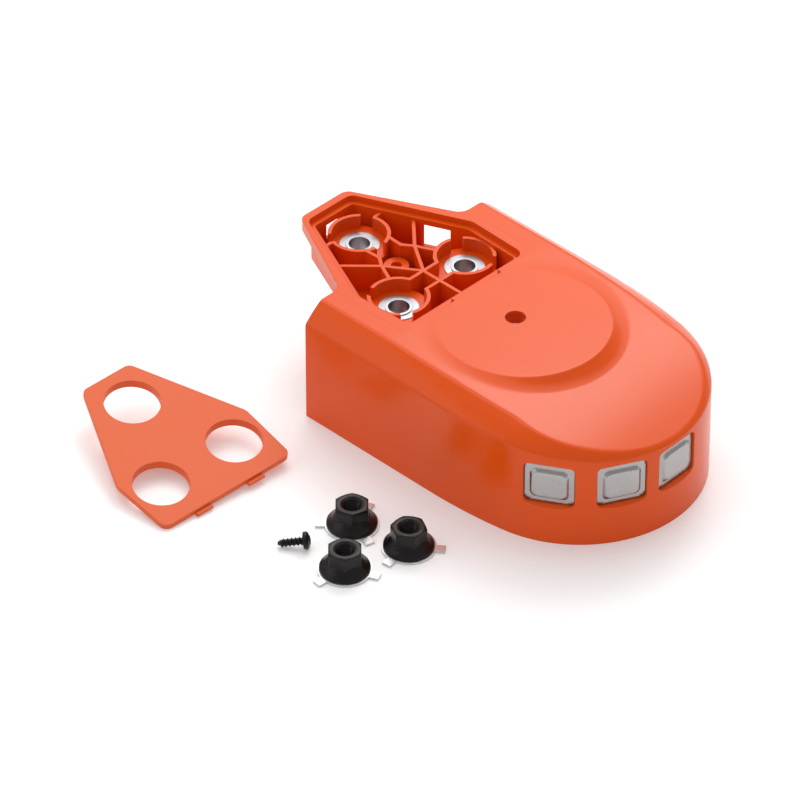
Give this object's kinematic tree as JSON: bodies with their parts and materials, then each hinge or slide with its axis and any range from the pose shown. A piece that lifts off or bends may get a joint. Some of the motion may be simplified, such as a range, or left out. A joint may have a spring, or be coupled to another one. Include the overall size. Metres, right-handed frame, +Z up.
{
  "type": "air filter housing",
  "caption": "U-shaped moulded engine cover with a ribbed three-stud foot and steel window plates, its cover plate, tab washers, flange nuts and screw laid out beside it.",
  "frame": {"origin": "Under the middle of the laid-out kit, on the bench surface that the housing and every loose piece rest on.", "axes": "+X along the housing from its mounting foot to its round nose, +Z up, +Y away from the loose pieces."},
  "size_m": [0.213, 0.2014, 0.054],
  "materials": {
    "orange_gloss": "glossy moulded nylon",
    "orange_satin": "satin moulded nylon",
    "bush_metal": "turned",
    "window_steel": "stamped satin sheet",
    "washer_steel": "stamped sheet",
    "black_steel": "black oxide"
  },
  "bodies": {
    "housing": {"housing": "orange_gloss", "bush_apex": "bush_metal", "bush_far": "bush_metal", "bush_near": "bush_metal", "window_plate_1": "window_steel", "window_plate_2": "window_steel", "window_plate_3": "window_steel"},
    "cover_plate": {"cover_plate": "orange_satin"},
    "cover_screw": {"cover_screw": "black_steel"},
    "tab_washer_a": {"tab_washer_a": "washer_steel"},
    "flange_nut_a": {"flange_nut_a": "black_steel"},
    "tab_washer_b": {"tab_washer_b": "washer_steel"},
    "flange_nut_b": {"flange_nut_b": "black_steel"},
    "tab_washer_c": {"tab_washer_c": "washer_steel"},
    "flange_nut_c": {"flange_nut_c": "black_steel"}
  },
  "joints": [
    {"name": "cover_plate_lift", "type": "slide", "parent": "housing", "child": "cover_plate", "axis": [0, 0, 1], "range_m": [0, 0.08]},
    {"name": "cover_screw_lift", "type": "slide", "parent": "housing", "child": "cover_screw", "axis": [0, 0, 1], "range_m": [0, 0.06]},
    {"name": "tab_washer_a_lift", "type": "slide", "parent": "housing", "child": "tab_washer_a", "axis": [0, 0, 1], "range_m": [0, 0.06]},
    {"name": "flange_nut_a_spin", "type": "hinge", "parent": "tab_washer_a", "child": "flange_nut_a", "pos_m": [0.01776, -0.04603, 0.001], "axis": [0, 0, 1], "continuous": true},
    {"name": "tab_washer_b_lift", "type": "slide", "parent": "housing", "child": "tab_washer_b", "axis": [0, 0, 1], "range_m": [0, 0.06]},
    {"name": "flange_nut_b_spin", "type": "hinge", "parent": "tab_washer_b", "child": "flange_nut_b", "pos_m": [0.03547, -0.06783, 0.001], "axis": [0, 0, 1], "continuous": true},
    {"name": "tab_washer_c_lift", "type": "slide", "parent": "housing", "child": "tab_washer_c", "axis": [0, 0, 1], "range_m": [0, 0.06]},
    {"name": "flange_nut_c_spin", "type": "hinge", "parent": "tab_washer_c", "child": "flange_nut_c", "pos_m": [0.04367, -0.04033, 0.001], "axis": [0, 0, 1], "continuous": true}
  ]
}
